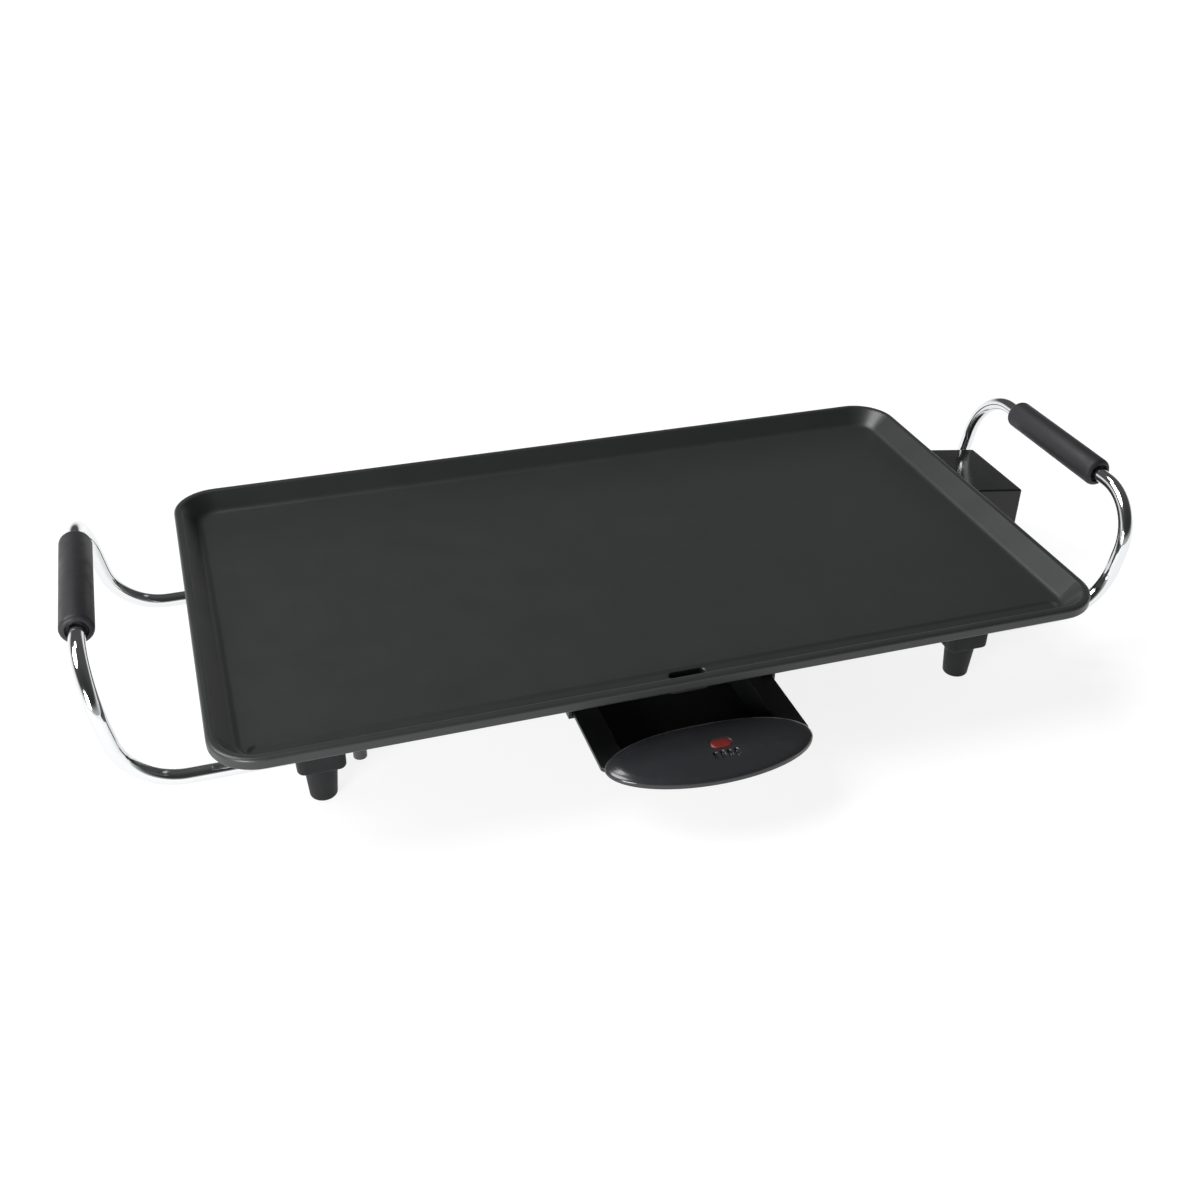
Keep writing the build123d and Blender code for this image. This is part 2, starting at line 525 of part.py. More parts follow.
# ---------------------------------------------------------------- feet
def foot(spot_x, spot_y):
    """A moulded foot: flange under the plate, block that carries the rod, and a tapered post."""
    with BuildPart() as leg:
        with BuildSketch(Plane.XY.offset(FOOT_FLANGE_Z)):
            with Locations((spot_x, spot_y)):
                RectangleRounded(FOOT_BLOCK_X, FOOT_FLANGE_Y, FOOT_CORNER)
        extrude(amount=FOOT_FLANGE_TOP_Z - FOOT_FLANGE_Z)
        with BuildSketch(Plane.XY.offset(FOOT_POST_TOP_Z)):
            with Locations((spot_x, spot_y)):
                RectangleRounded(FOOT_BLOCK_X, FOOT_BLOCK_Y, FOOT_CORNER)
        extrude(amount=FOOT_FLANGE_Z - FOOT_POST_TOP_Z)
        fillet(leg.edges().group_by(Axis.Z)[0], FOOT_EDGE)
        with BuildSketch(Plane.XY):
            with Locations((spot_x, spot_y)):
                Circle(FOOT_TIP_RADIUS)
        with BuildSketch(Plane.XY.offset(FOOT_POST_TOP_Z)):
            with Locations((spot_x, spot_y)):
                Circle(FOOT_TOP_RADIUS)
        loft()
        fillet(leg.edges().group_by(Axis.Z)[0], FOOT_EDGE)
        # hole for the rod's end from outside, and a screw's hole with a pocket for its head from inside
        outward = 1 if spot_x > 0 else -1
        for start_x, length, radius in (
            (ROD_END_X, FOOT_BLOCK_X, ROD_RADIUS + ROD_CLEARANCE),
            (ROD_SCREW_SEAT_X, ROD_END_X - ROD_SCREW_SEAT_X, SCREW_HOLE_RADIUS),
            (ROD_SCREW_SEAT_X, -FOOT_BLOCK_X, ROD_SCREW_POCKET_RADIUS),
        ):
            with BuildSketch(Plane.YZ.offset(outward * start_x)):
                with Locations((spot_y, ROD_Z)):
                    Circle(radius)
            extrude(amount=outward * length, mode=Mode.SUBTRACT)
        with BuildSketch(Plane.XY.offset(FOOT_FLANGE_Z)):
            with Locations((spot_x, spot_y - FOOT_SCREW_OFFSET), (spot_x, spot_y + FOOT_SCREW_OFFSET)):
                Circle(SCREW_HOLE_RADIUS)
        extrude(amount=FOOT_FLANGE_TOP_Z - FOOT_FLANGE_Z, mode=Mode.SUBTRACT)
    return leg.part


for side, side_name in SIDE_NAMES.items():
    for foot_y, place in zip(FOOT_YS, ("front", "back")):
        save(foot(side * FOOT_X, foot_y), f"foot_{place}_{side_name}")
save(upright_screws(FOOT_SCREW_SPOTS, FOOT_FLANGE_Z, SCREW_TIP_Z), "foot_screws")


# ---------------------------------------------------------------- handles
def handle_rod(side):
    """The bent rod of one handle, from its end in the front foot round to its end in the back foot."""
    front_y, back_y = FOOT_YS
    with BuildPart() as rod:
        with BuildLine() as path:
            FilletPolyline(
                (side * ROD_END_X, front_y, ROD_Z),
                (side * ROD_KNEE_X, front_y, ROD_Z),
                (side * GRIP_X, front_y, GRIP_Z),
                (side * GRIP_X, back_y, GRIP_Z),
                (side * ROD_KNEE_X, back_y, ROD_Z),
                (side * ROD_END_X, back_y, ROD_Z),
                radius=[ROD_KNEE_BEND, GRIP_BEND, GRIP_BEND, ROD_KNEE_BEND],
            )
        with BuildSketch(Plane(origin=path.line @ 0, z_dir=path.line % 0)):
            Circle(ROD_RADIUS)
        sweep()
        with BuildSketch(Plane.YZ.offset(side * ROD_END_X)):
            with Locations((front_y, ROD_Z), (back_y, ROD_Z)):
                Circle(SCREW_HOLE_RADIUS)
        extrude(amount=side * (ROD_SCREW_REACH + SCREW_END_GAP), mode=Mode.SUBTRACT)
    return rod.part


def grip(side):
    """The moulded grip on the rod's top run: rounded ends, each recessed round the rod."""
    with BuildPart() as sleeve:
        with BuildSketch(Plane.XZ.offset(GRIP_LENGTH / 2 - PLATE_Y)):
            with Locations((side * GRIP_X, GRIP_Z)):
                Circle(GRIP_RADIUS)
        extrude(amount=-GRIP_LENGTH)
        fillet(sleeve.edges().filter_by(GeomType.CIRCLE), GRIP_END_ROUND)
        with BuildSketch(Plane.XZ.offset(GRIP_LENGTH / 2 - PLATE_Y)):
            with Locations((side * GRIP_X, GRIP_Z)):
                Circle(ROD_RADIUS + ROD_CLEARANCE)
        extrude(amount=-GRIP_LENGTH, mode=Mode.SUBTRACT)
        for end, inward in ((GRIP_LENGTH / 2, -1), (-GRIP_LENGTH / 2, 1)):
            with BuildSketch(Plane.XZ.offset(end - PLATE_Y)):
                with Locations((side * GRIP_X, GRIP_Z)):
                    Circle(GRIP_RECESS_RADIUS)
            extrude(amount=inward * GRIP_RECESS_DEPTH, mode=Mode.SUBTRACT)
    return sleeve.part


def rod_screws(side):
    """The two screws that draw one handle's rod into its foot blocks, from their inner faces."""
    with BuildPart() as screws:
        with BuildSketch(Plane.YZ.offset(side * ROD_SCREW_SEAT_X)):
            with Locations(*[(y, ROD_Z) for y in FOOT_YS]):
                Circle(SCREW_RADIUS)
        extrude(amount=side * (ROD_END_X + ROD_SCREW_REACH - ROD_SCREW_SEAT_X))
        with BuildSketch(Plane.YZ.offset(side * ROD_SCREW_SEAT_X)):
            with Locations(*[(y, ROD_Z) for y in FOOT_YS]):
                Circle(SCREW_HEAD_RADIUS)
        extrude(amount=-side * SCREW_HEAD_HEIGHT)
        heads = screws.edges().sort_by(lambda edge: abs(edge.center().X))[:2]
        fillet(heads, SCREW_HEAD_HEIGHT * 0.5)
        with BuildSketch(Plane.YZ.offset(side * (ROD_SCREW_SEAT_X - SCREW_HEAD_HEIGHT / 2))):
            with Locations(*[(y, ROD_Z) for y in FOOT_YS]):
                Rectangle(*DRIVE_SLOT)
                Rectangle(*reversed(DRIVE_SLOT))
        extrude(amount=-side * SCREW_HEAD_HEIGHT, mode=Mode.SUBTRACT)
    return screws.part


for side, side_name in SIDE_NAMES.items():
    save(handle_rod(side), f"handle_rod_{side_name}")
    save(grip(side), f"grip_{side_name}")
    save(rod_screws(side), f"rod_screws_{side_name}")


# ---------------------------------------------------------------- drip tray
def tray_rail(side):
    """A folded channel that carries one flange of the tray, on two legs screwed under the plate."""
    lip_bottom_z = TRAY_TOP_Z - TRAY_FLANGE_THICKNESS - RAIL_CLEARANCE - RAIL_SHEET
    lip_top_z = TRAY_TOP_Z + RAIL_CLEARANCE + RAIL_SHEET
    web_x = TRAY_FLANGE_HALF + RAIL_CLEARANCE
    outer_x = web_x + RAIL_SHEET
    with BuildPart() as rail:
        with BuildSketch(Plane.XZ.offset(-RAIL_FRONT_Y)):
            with BuildLine():
                Polyline(
                    (side * RAIL_LOWER_LIP_X, lip_bottom_z),
                    (side * outer_x, lip_bottom_z),
                    (side * outer_x, lip_top_z),
                    (side * RAIL_UPPER_LIP_X, lip_top_z),
                    (side * RAIL_UPPER_LIP_X, lip_top_z - RAIL_SHEET),
                    (side * web_x, lip_top_z - RAIL_SHEET),
                    (side * web_x, lip_bottom_z + RAIL_SHEET),
                    (side * RAIL_LOWER_LIP_X, lip_bottom_z + RAIL_SHEET),
                    close=True,
                )
            make_face()
        extrude(amount=RAIL_FRONT_Y - RAIL_BACK_Y)
        # stop at the back of the channel
        with BuildSketch(Plane.XZ.offset(-RAIL_BACK_Y)):
            with Locations((side * (RAIL_UPPER_LIP_X + outer_x) / 2, (lip_bottom_z + lip_top_z) / 2)):
                Rectangle(outer_x - RAIL_UPPER_LIP_X, lip_top_z - lip_bottom_z)
        extrude(amount=RAIL_SHEET)
        for leg_y in RAIL_LEG_YS:
            with BuildSketch(Plane.XY.offset(lip_bottom_z)):
                with Locations((side * (web_x + outer_x) / 2, leg_y)):
                    Rectangle(RAIL_SHEET, RAIL_LEG_WIDTH)
            extrude(amount=RAIL_TAB_Z + RAIL_SHEET - lip_bottom_z)
            with BuildSketch(Plane.XY.offset(RAIL_TAB_Z)):
                with Locations((side * (web_x + RAIL_TAB_X) / 2, leg_y)):
                    Rectangle(RAIL_TAB_X - web_x, RAIL_LEG_WIDTH)
                with Locations((side * RAIL_SCREW_X, leg_y)):
                    Circle(SCREW_HOLE_RADIUS, mode=Mode.SUBTRACT)
            extrude(amount=RAIL_SHEET)
    return rail.part


for side, side_name in SIDE_NAMES.items():
    save(tray_rail(side), f"tray_rail_{side_name}")
save(upright_screws(RAIL_SCREW_SPOTS, RAIL_TAB_Z, SCREW_TIP_Z), "rail_screws")

with BuildPart() as drip_tray:
    well_length = TRAY_LENGTH - 2 * TRAY_END_GAP
    with BuildSketch(Plane.XY.offset(TRAY_BOTTOM_Z)):
        with Locations((0, TRAY_CENTRE_Y)):
            RectangleRounded(
                2 * (TRAY_WELL_HALF - TRAY_DRAFT), well_length - 2 * TRAY_DRAFT, TRAY_CORNER - TRAY_DRAFT
            )
    with BuildSketch(Plane.XY.offset(TRAY_TOP_Z)):
        with Locations((0, TRAY_CENTRE_Y)):
            RectangleRounded(2 * TRAY_WELL_HALF, well_length, TRAY_CORNER)
    loft()
    fillet(drip_tray.edges().group_by(Axis.Z)[0], TRAY_FOOT_EDGE)
    with BuildSketch(Plane.XY.offset(TRAY_TOP_Z - TRAY_FLANGE_THICKNESS)):
        with Locations((0, TRAY_CENTRE_Y)):
            RectangleRounded(2 * TRAY_FLANGE_HALF, TRAY_LENGTH, TRAY_FLANGE_CORNER)
    extrude(amount=TRAY_FLANGE_THICKNESS)
    tongue_y = (TRAY_FRONT_Y + TONGUE_FRONT_Y) / 2 + 1
    with BuildSketch(Plane.XY.offset(PAD_BOTTOM_Z - TONGUE_THICKNESS)):
        with Locations((0, tongue_y)):
            Rectangle(2 * TONGUE_HALF, TRAY_FRONT_Y - TONGUE_FRONT_Y + 4)
        with Locations(*TRAY_SCREW_SPOTS):
            Circle(SCREW_HOLE_RADIUS, mode=Mode.SUBTRACT)
    extrude(amount=TONGUE_THICKNESS)
    with BuildSketch(Plane.XY.offset(TRAY_BOTTOM_Z + TRAY_WALL)):
        with Locations((0, TRAY_CENTRE_Y)):
            RectangleRounded(
                2 * (TRAY_WELL_HALF - TRAY_DRAFT - TRAY_WALL),
                well_length - 2 * (TRAY_DRAFT + TRAY_WALL),
                TRAY_CORNER - TRAY_DRAFT - TRAY_WALL,
            )
    with BuildSketch(Plane.XY.offset(TRAY_TOP_Z)):
        with Locations((0, TRAY_CENTRE_Y)):
            RectangleRounded(
                2 * (TRAY_WELL_HALF - TRAY_WALL), well_length - 2 * TRAY_WALL, TRAY_CORNER - TRAY_WALL
            )
    loft(mode=Mode.SUBTRACT)
    top_edges = drip_tray.edges().filter_by_position(Axis.Z, TRAY_TOP_Z - 0.01, TRAY_TOP_Z + 0.01)
    well_edges = top_edges.filter_by(
        lambda edge: abs(edge.center().X) < TRAY_WELL_HALF
        and TRAY_FRONT_Y + 2 < edge.center().Y < TRAY_BACK_Y - 2
    )
    fillet(well_edges, TRAY_WELL_EDGE)
    top_edges = drip_tray.edges().filter_by_position(Axis.Z, TRAY_TOP_Z - 0.01, TRAY_TOP_Z + 0.01)
    rim_edges = top_edges.filter_by(
        lambda edge: abs(edge.center().X) > TRAY_WELL_HALF + 2
        or not TRAY_FRONT_Y + 1 < edge.center().Y < TRAY_BACK_Y - 1
    )
    fillet(rim_edges, TRAY_RIM_EDGE)
save(drip_tray.part, "drip_tray")

with BuildPart() as tray_handle:
    # outline: two half ellipses that meet at the tips, the front one deeper
    with BuildSketch(Plane.XY.offset(PAD_BOTTOM_Z)):
        with BuildLine():
            EllipticalCenterArc(
                (0, PAD_TIP_Y), PAD_HALF, PAD_TIP_Y - PAD_FRONT_Y, start_angle=180, arc_size=180
            )
            EllipticalCenterArc((0, PAD_TIP_Y), PAD_HALF, PAD_BACK_Y - PAD_TIP_Y, start_angle=0, arc_size=180)
        make_face()
    extrude(amount=PAD_CROWN_Z + 1 - PAD_BOTTOM_Z)
    # side profile: crowned top, and a step that sits on the tray's flange
    with BuildSketch(Plane.YZ):
        with BuildLine():
            Spline(
                (PAD_FRONT_Y - 1, PAD_FRONT_Z),
                (PAD_TIP_Y - 8, PAD_CROWN_Z - 1.1),
                (PAD_TIP_Y + 4, PAD_CROWN_Z - 0.2),
                (PAD_BACK_Y + 1, PAD_CROWN_Z - 0.8),
            )
            Polyline(
                (PAD_BACK_Y + 1, PAD_CROWN_Z - 0.8),
                (PAD_BACK_Y + 1, TRAY_TOP_Z + FLANGE_GAP),
                (TRAY_FRONT_Y - 0.5, TRAY_TOP_Z + FLANGE_GAP),
                (TRAY_FRONT_Y - 0.5, PAD_BOTTOM_Z + 0.1),
                (PAD_FRONT_Y - 1, PAD_BOTTOM_Z + 0.1),
                (PAD_FRONT_Y - 1, PAD_FRONT_Z),
            )
        make_face()
    extrude(amount=PAD_HALF + 1, both=True, mode=Mode.INTERSECT)
    # front profile: crowned from end to end
    with BuildSketch(Plane.XZ.offset(-PAD_BACK_Y - 5)):
        with BuildLine():
            ThreePointArc((-PAD_HALF - 1, PAD_END_Z), (0, PAD_CROWN_Z), (PAD_HALF + 1, PAD_END_Z))
            Polyline(
                (PAD_HALF + 1, PAD_END_Z),
                (PAD_HALF + 1, PAD_BOTTOM_Z),
                (-PAD_HALF - 1, PAD_BOTTOM_Z),
                (-PAD_HALF - 1, PAD_END_Z),
            )
        make_face()
    extrude(amount=PAD_BACK_Y - PAD_FRONT_Y + 10, mode=Mode.INTERSECT)
    # grip grooves, the badge's pocket and the blind screw holes
    with BuildSketch(Plane.XY.offset(GROOVE_FLOOR_Z)):
        with Locations((BADGE_SPOT[0], GROOVE_Y)):
            with GridLocations(GROOVE_PITCH, 0, GRIP_GROOVES, 1):
                RectangleRounded(GROOVE_WIDTH, GROOVE_LENGTH, GROOVE_WIDTH * 0.45)
    extrude(amount=PAD_CROWN_Z - GROOVE_FLOOR_Z, mode=Mode.SUBTRACT)
    with BuildSketch(Plane.XY.offset(BADGE_FLOOR_Z)):
        with Locations(BADGE_SPOT):
            SlotOverall(BADGE_LENGTH + BADGE_CLEARANCE, BADGE_WIDTH + BADGE_CLEARANCE)
    extrude(amount=PAD_CROWN_Z - BADGE_FLOOR_Z, mode=Mode.SUBTRACT)
    with BuildSketch(Plane.XY.offset(PAD_BOTTOM_Z)):
        with Locations(*TRAY_SCREW_SPOTS):
            Circle(SCREW_HOLE_RADIUS)
    extrude(amount=TRAY_SCREW_REACH + SCREW_END_GAP, mode=Mode.SUBTRACT)
save(tray_handle.part, "tray_handle")

with BuildPart() as tray_badge:
    with BuildSketch(Plane.XY.offset(BADGE_FLOOR_Z)):
        with Locations(BADGE_SPOT):
            SlotOverall(BADGE_LENGTH, BADGE_WIDTH)
    extrude(amount=BADGE_HEIGHT)
    fillet(tray_badge.edges().group_by(Axis.Z)[-1], BADGE_EDGE)
save(tray_badge.part, "tray_badge")
save(
    upright_screws(TRAY_SCREW_SPOTS, PAD_BOTTOM_Z - TONGUE_THICKNESS, PAD_BOTTOM_Z + TRAY_SCREW_REACH),
    "tray_screws",
)
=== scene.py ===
import json
import math

import bmesh
import bpy
from mathutils import Matrix, Vector


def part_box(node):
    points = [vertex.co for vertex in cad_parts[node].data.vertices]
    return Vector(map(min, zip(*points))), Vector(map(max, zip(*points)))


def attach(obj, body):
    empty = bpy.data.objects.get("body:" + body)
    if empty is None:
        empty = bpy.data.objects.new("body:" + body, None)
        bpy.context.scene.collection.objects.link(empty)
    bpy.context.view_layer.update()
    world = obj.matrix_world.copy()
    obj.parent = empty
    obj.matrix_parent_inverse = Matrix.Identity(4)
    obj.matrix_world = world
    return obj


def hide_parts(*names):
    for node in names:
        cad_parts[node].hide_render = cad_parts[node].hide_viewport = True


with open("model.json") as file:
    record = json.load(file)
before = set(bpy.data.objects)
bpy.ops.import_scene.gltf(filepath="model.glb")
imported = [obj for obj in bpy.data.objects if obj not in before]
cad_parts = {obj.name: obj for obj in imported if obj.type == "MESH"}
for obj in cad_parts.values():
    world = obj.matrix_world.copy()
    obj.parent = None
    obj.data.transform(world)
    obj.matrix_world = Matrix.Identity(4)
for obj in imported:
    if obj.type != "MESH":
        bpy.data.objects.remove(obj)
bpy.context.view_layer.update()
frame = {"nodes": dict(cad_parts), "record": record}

# ---------------------------------------------------------------- places, read from the frame, in metres
MM = 0.001
PLATE_LOW, PLATE_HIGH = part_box("griddle_plate")
PLATE_MIDDLE = Vector(
    ((PLATE_LOW.x + PLATE_HIGH.x) / 2, (PLATE_LOW.y + PLATE_HIGH.y) / 2, PLATE_HIGH.z)
)

# The camera, as measured from the middle of the plate's rim.
CAMERA_OFFSET = Vector((-217.74, -613.36, 386.35)) * MM
CAMERA_AZIMUTH = math.radians(-18.86)
CAMERA_ELEVATION = math.radians(33.02)
CAMERA_ROLL = math.radians(1.20)
CAMERA_LENS = 40.92
CAMERA_SENSOR = 36.0

ROD_RADIUS = 4.0 * MM
ROD_KNEE_INSET = 12.2 * MM     # the lower bend, inboard of the grip's axis
ROD_KNEE_BEND = 32.0 * MM
ROD_GRIP_BEND = 30.0 * MM
ROD_END_CHAMFER = 0.7 * MM
ROD_STEP = 6.0 * MM            # between the rings of a straight run

GRIP_END_ROUND = 2.6 * MM
GRIP_RECESS_RADIUS = 6.0 * MM
GRIP_RECESS_DEPTH = 2.5 * MM
GRIP_BORE_RADIUS = 4.05 * MM
GRIP_SEAM_HEIGHT = 0.12 * MM
GRIP_LIP = 0.5 * MM            # bevel between a grip's end and the recess round the rod

PAD_FRONT_DEPTH = 24.0 * MM    # from the pad's tips to its front
PAD_FLANGE_FRONT = 25.0 * MM   # from the pad's front to where it steps up over the tray's flange
PAD_STEP = 0.6 * MM
PAD_CROWN_BACK = 30.5 * MM     # from the pad's front to its highest line
PAD_FALL_ENDS = 1.3 * MM       # how far the top falls from the crown to the ends, front and back
PAD_DROOP_ENDS = 1.9 * MM      # and how much further it droops close to the ends
PAD_FALL_FRONT = 3.0 * MM
PAD_FALL_BACK = 0.5 * MM
PAD_ROLL_WIDTH = 3.0 * MM      # the rolled edge, seen from above, and its drop
PAD_ROLL_DROP = 1.4 * MM
PAD_TIP_ROLL_WIDTH = 8.0 * MM  # how much wider and deeper the roll grows at the pad's tips
PAD_TIP_ROLL_DROP = 0.4 * MM
GROOVES = 4
GROOVE_PITCH = 3.6 * MM
GROOVE_FORWARD = 7.5 * MM      # the grooves' middle, in front of the badge's
GROOVE_WIDTH = 1.9 * MM
GROOVE_LENGTH = 4.8 * MM
GROOVE_DEPTH = 1.6 * MM
GROOVE_WALL_OUT = 0.15 * MM    # how far a groove's wall starts outside its outline
GROOVE_WALL_IN = 0.25 * MM     # and how far inside it ends
BADGE_GAP = 0.35 * MM          # the badge's pocket is this much larger all round, and this deep
BADGE_POCKET_LIP = 0.1 * MM    # the pocket's wall reaches its floor this far outside the badge
BADGE_EDGE = 0.5 * MM
BADGE_EDGE_TURNS = (0.4, 0.8, 1.2)  # angles of the rings round the badge's edge, in radians
BADGE_DOME = 0.25 * MM
BADGE_DOME_RINGS = 6

# The pad's mesh lines over -1..1: coarse step, fine step, and the stretch with fine steps, which
# covers the grooves and the badge.
PAD_LINES_X = (0.020, 0.006, -0.06, 0.26)
PAD_LINES_Y = (0.036, 0.012, -0.66, 0.06)
SHARP_ANGLE = math.radians(50)  # edges that turn more than this stay sharp

# Colours are linear.
COATING = (0.023, 0.0245, 0.0245)
BLACK_PLASTIC = (0.012, 0.0125, 0.0135)
TRAY_BLACK = (0.008, 0.0085, 0.009)
GRIP_BLACK = (0.018, 0.018, 0.021)
PAD_BLACK = (0.020, 0.0205, 0.023)
BADGE_RED = (0.13, 0.016, 0.014)
CHROME = (0.80, 0.81, 0.82)
PLATED_STEEL = (0.55, 0.55, 0.52)
BLACKENED_STEEL = (0.045, 0.045, 0.045)
NICKEL = (0.66, 0.64, 0.60)
HEATED_STEEL = (0.20, 0.18, 0.165)
BRASS = (0.66, 0.48, 0.20)
CERAMIC = (0.62, 0.58, 0.50)
PALE_FLECK = (0.10, 0.10, 0.10)
FLOOR_PAPER = (0.22, 0.22, 0.22)
COAT_ROUGHNESS = 0.05

# Looks of the plainer materials, by slot; grain and depth are in metres.
MOULDED = {
    "socket_plastic": dict(colour=BLACK_PLASTIC, roughness=0.12, grain=0.004, depth=0.00001, specular=0.3),
    "foot_plastic": dict(colour=BLACK_PLASTIC, roughness=0.55, grain=0.0010, depth=0.00006, specular=0.2),
    "grip_plastic": dict(colour=GRIP_BLACK, roughness=0.5, grain=0.0012, depth=0.00008, specular=0.35),
    "tray_plastic": dict(colour=TRAY_BLACK, roughness=0.36, grain=0.0012, depth=0.00003),
    "tray_handle_gloss": dict(colour=PAD_BLACK, roughness=0.2, grain=0.003, depth=0.00001, coat=0.2),
    "ceramic": dict(colour=CERAMIC, roughness=0.6, grain=0.0008, depth=0.00004),
    "badge_red": dict(colour=BADGE_RED, roughness=0.3, grain=0.002, depth=0.00001),
}
METALS = {
    "plated_steel": dict(colour=PLATED_STEEL, roughness=0.35, line="y"),
    "blackened_steel": dict(colour=BLACKENED_STEEL, roughness=0.45),
    "contact_metal": dict(colour=NICKEL, roughness=0.2, line="x"),
    "element_sheath": dict(colour=HEATED_STEEL, roughness=0.5),
    "earth_brass": dict(colour=BRASS, roughness=0.3, line="x"),
}

FLOOR_HALF = 6.0               # metres from the middle to an edge
FLOOR_GAP = 0.2 * MM           # between the floor and the feet
FLOOR_GLOW = 0.85
# The sky's brightness: heights at which it starts and stops falling, and its values there.
SKY_FALL = (0.04, 0.34, 0.95, 0.08)
# How much of it is left in front, and where it is whole, along +Y.
SKY_FRONT = (-0.8, 0.2, 0.45, 1.0)


# ---------------------------------------------------------------- material helpers
class Shader:
    """One Principled material and the few node patterns that the materials here share."""

    def __init__(self, name, colour, roughness, metallic=0.0, specular=0.5, coat=0.0):
        self.material = bpy.data.materials.new(name)
        self.material.use_nodes = True
        self.tree = self.material.node_tree
        self.bsdf = self.tree.nodes["Principled BSDF"]
        self.bsdf.inputs["Base Color"].default_value = (*colour, 1)
        self.bsdf.inputs["Roughness"].default_value = roughness
        self.bsdf.inputs["Metallic"].default_value = metallic
        self.bsdf.inputs["Specular IOR Level"].default_value = specular
        self.bsdf.inputs["Coat Weight"].default_value = coat
        self.bsdf.inputs["Coat Roughness"].default_value = COAT_ROUGHNESS
        self.colour = colour
        self.place = self.node("ShaderNodeTexCoord").outputs["Object"]
        self.height = None

    def node(self, kind, **values):
        """A new shader node, with the given attributes."""
        made = self.tree.nodes.new(kind)
        for key, value in values.items():
            setattr(made, key, value)
        return made

    def link(self, a, b):
        """Joins an output to an input."""
        self.tree.links.new(a, b)

    def noise(self, size, detail=2.0, roughness=0.5, stretch=(1, 1, 1)):
        """Noise whose features are about size metres across, longer where stretch is under 1."""
        mapping = self.node("ShaderNodeMapping")
        mapping.inputs["Scale"].default_value = stretch
        self.link(self.place, mapping.inputs["Vector"])
        made = self.node("ShaderNodeTexNoise")
        made.inputs["Scale"].default_value = 1 / size
        made.inputs["Detail"].default_value = detail
        made.inputs["Roughness"].default_value = roughness
        self.link(mapping.outputs["Vector"], made.inputs["Vector"])
        return made.outputs["Fac"]

    def cells(self, size):
        """Distance to the nearest of scattered points about size metres apart."""
        made = self.node("ShaderNodeTexVoronoi")
        made.inputs["Scale"].default_value = 1 / size
        self.link(self.place, made.inputs["Vector"])
        return made.outputs["Distance"]

    def span(self, value, low, high, to_low, to_high):
        """Maps value from low..high to to_low..to_high, and holds it there outside."""
        made = self.node("ShaderNodeMapRange")
        for key, number in (("From Min", low), ("From Max", high), ("To Min", to_low), ("To Max", to_high)):
            made.inputs[key].default_value = number
        self.link(value, made.inputs["Value"])
        return made.outputs["Result"]

    def mix_colour(self, factor, other):
        """Mixes another colour over whatever feeds the base colour, by factor."""
        made = self.node("ShaderNodeMix", data_type="RGBA")
        socket = self.bsdf.inputs["Base Color"]
        if socket.links:
            self.link(socket.links[0].from_socket, made.inputs["A"])
        else:
            made.inputs["A"].default_value = (*self.colour, 1)
        made.inputs["B"].default_value = (*other, 1)
        self.link(factor, made.inputs["Factor"])
        self.link(made.outputs["Result"], socket)

    def vary_roughness(self, value):
        """Lets value drive the roughness."""
        self.link(value, self.bsdf.inputs["Roughness"])

    def bump(self, value, depth, strength=1.0):
        """Adds relief of depth metres, on top of any that is there."""
        made = self.node("ShaderNodeBump")
        made.inputs["Strength"].default_value = strength
        made.inputs["Distance"].default_value = depth
        self.link(value, made.inputs["Height"])
        if self.height:
            self.link(self.height, made.inputs["Normal"])
        self.height = made.outputs["Normal"]
        self.link(self.height, self.bsdf.inputs["Normal"])


def coating_material():
    """Sprayed non-stick coating on a casting: fine orange peel, faint cloudiness and pale flecks."""
    s = Shader("nonstick_coating", COATING, roughness=0.36, specular=0.45)
    cloud = s.noise(0.045, detail=3.0)
    s.mix_colour(s.span(cloud, 0.35, 0.65, 0.0, 0.25), tuple(c * 1.25 for c in COATING))
    fleck = s.cells(0.0022)
    s.mix_colour(s.span(fleck, 0.04, 0.11, 0.22, 0.0), PALE_FLECK)
    gloss = s.noise(0.02, detail=4.0)
    s.vary_roughness(s.span(gloss, 0.3, 0.7, 0.35, 0.40))
    orange_peel = s.noise(0.0011, detail=3.0)
    s.bump(orange_peel, depth=0.00006, strength=0.6)
    waviness = s.noise(0.006)
    s.bump(waviness, depth=0.00005, strength=0.2)
    return s.material


def chrome_material():
    """Bright chrome plate over drawn wire, with faint lines and haze."""
    s = Shader("chrome_rod", CHROME, roughness=0.05, metallic=1.0)
    haze = s.noise(0.012, detail=4.0)
    s.vary_roughness(s.span(haze, 0.3, 0.75, 0.035, 0.11))
    drawn_lines = s.noise(0.004)
    s.bump(drawn_lines, depth=0.00003, strength=0.2)
    return s.material


def moulded_material(name, colour, roughness, grain, depth, coat=0.0, specular=0.5):
    """Moulded plastic with a fine spark-eroded grain and slight scuffing."""
    s = Shader(name, colour, roughness, specular=specular, coat=coat)
    scuff = s.noise(0.014, detail=5.0, roughness=0.6)
    s.mix_colour(s.span(scuff, 0.5, 0.75, 0.0, 0.4), tuple(c * 1.5 + 0.002 for c in colour))
    gloss = s.noise(0.009, detail=4.0)
    s.vary_roughness(s.span(gloss, 0.3, 0.7, roughness * 0.85, roughness * 1.2))
    s.bump(s.noise(grain), depth, strength=0.5)
    return s.material


